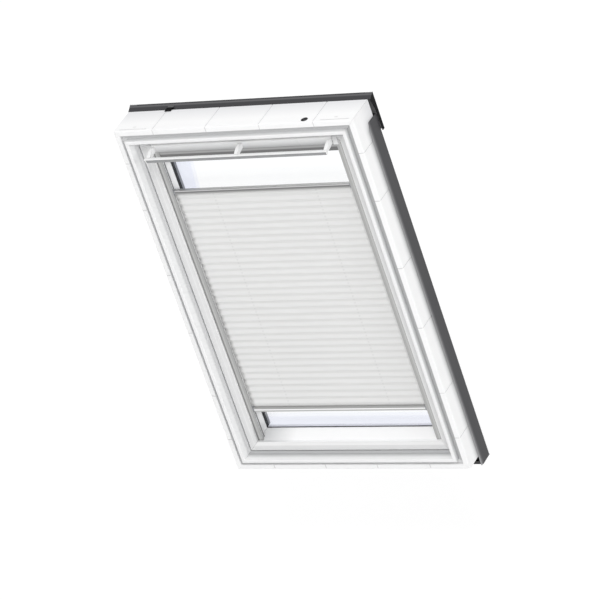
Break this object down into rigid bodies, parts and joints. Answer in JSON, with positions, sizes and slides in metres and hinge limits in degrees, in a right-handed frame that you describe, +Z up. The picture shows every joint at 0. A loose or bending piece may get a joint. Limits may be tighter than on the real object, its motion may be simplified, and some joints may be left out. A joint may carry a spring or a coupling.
{
  "type": "skylight window blind",
  "caption": "Centre-pivot roof window in a white frame and casing with dark outer claddings, a control bar, a ventilation flap and a pleated blind running between side channels.",
  "frame": {"origin": "centre of the rectangle made by the frame's room-side front edge, which is where the roof's lining ends hold the window", "axes": "+X to the right as seen from the room, +Y outdoors along the depth, +Z up the window; the roof's pitch is left to the parent"},
  "size_m": [0.765, 0.164, 1.1922],
  "materials": {
    "white_lacquer": "satin white lacquer over timber",
    "white_casing": "matt white insulating casing",
    "dark_cladding": "dark grey lacquered sheet",
    "black_rubber": "matt black",
    "zinc_plated_steel": "zinc plated",
    "clear_glass": "clear, faintly blue",
    "satin_aluminium": "satin anodised",
    "grey_plastic": "matt grey",
    "white_aluminium": "satin white lacquer",
    "white_plastic": "matt white",
    "pleated_cloth": "light grey-white woven, pleated",
    "white_cord": "braided",
    "filter_foam": "open grey foam"
  },
  "bodies": {
    "frame": {"frame_top": "white_lacquer", "frame_bottom": "white_lacquer", "frame_left": "white_lacquer", "frame_right": "white_lacquer", "collar_top": "white_casing", "collar_bottom": "white_casing", "collar_left": "white_casing", "collar_right": "white_casing", "cladding_left": "dark_cladding", "cladding_right": "dark_cladding", "hinge_housing_left": "zinc_plated_steel", "hinge_housing_right": "zinc_plated_steel", "cable_plug": "black_rubber", "hood": "dark_cladding", "sill_cladding": "dark_cladding", "lock_keeper": "zinc_plated_steel", "weather_seal": "black_rubber"},
    "sash": {"sash_top": "white_lacquer", "sash_bottom": "white_lacquer", "sash_left": "white_lacquer", "sash_right": "white_lacquer", "sash_cover_top": "dark_cladding", "sash_cover_bottom": "dark_cladding", "sash_cover_left": "dark_cladding", "sash_cover_right": "dark_cladding", "glass_edge_seal": "black_rubber", "pivot_plate_left": "zinc_plated_steel", "pivot_plate_right": "zinc_plated_steel", "glass_inner": "clear_glass", "glass_outer": "clear_glass", "glass_spacer": "satin_aluminium", "side_channel_left": "satin_aluminium", "side_channel_right": "satin_aluminium", "cloth_upper": "pleated_cloth", "cloth_lower": "pleated_cloth", "tension_cord_left": "white_cord", "tension_cord_right": "white_cord", "vent_filter_left": "filter_foam", "vent_filter_right": "filter_foam", "glazing_gasket": "black_rubber", "lock_case": "zinc_plated_steel", "blind_top_profile": "satin_aluminium"},
    "control_bar": {"vent_flap": "white_aluminium", "control_bar": "white_aluminium", "bar_cap_left": "white_plastic", "bar_cap_right": "white_plastic", "bar_bracket_left": "white_plastic", "bar_bracket_middle": "white_plastic", "bar_bracket_right": "white_plastic"},
    "latch": {"latch_bolt": "zinc_plated_steel"},
    "upper_rail": {"upper_rail": "satin_aluminium", "upper_shoe_left": "grey_plastic", "upper_shoe_right": "grey_plastic"},
    "lower_rail": {"lower_rail": "satin_aluminium", "lower_shoe_left": "grey_plastic", "lower_shoe_right": "grey_plastic"}
  },
  "joints": [
    {"name": "sash_pivot", "type": "hinge", "parent": "frame", "child": "sash", "pos_m": [0, 0.062, 0], "axis": [1, 0, 0], "range_deg": [0, 160]},
    {"name": "bar_pull", "type": "hinge", "parent": "sash", "child": "control_bar", "pos_m": [0, 0.0285, 0.4955], "axis": [1, 0, 0], "range_deg": [0, 45]},
    {"name": "latch_draw", "type": "slide", "parent": "sash", "child": "latch", "axis": [0, 0, -1], "range_m": [0, 0.009]},
    {"name": "upper_rail_slide", "type": "slide", "parent": "sash", "child": "upper_rail", "axis": [0, 0, 1], "range_m": [-0.2, 0.105], "deforming": ["cloth_upper"]},
    {"name": "lower_rail_slide", "type": "slide", "parent": "sash", "child": "lower_rail", "axis": [0, 0, 1], "range_m": [-0.085, 0.2], "deforming": ["cloth_lower"]}
  ],
  "couplings": [
    {"joint": "latch_draw", "follows": "bar_pull", "m_per_rad": 0.011459}
  ]
}
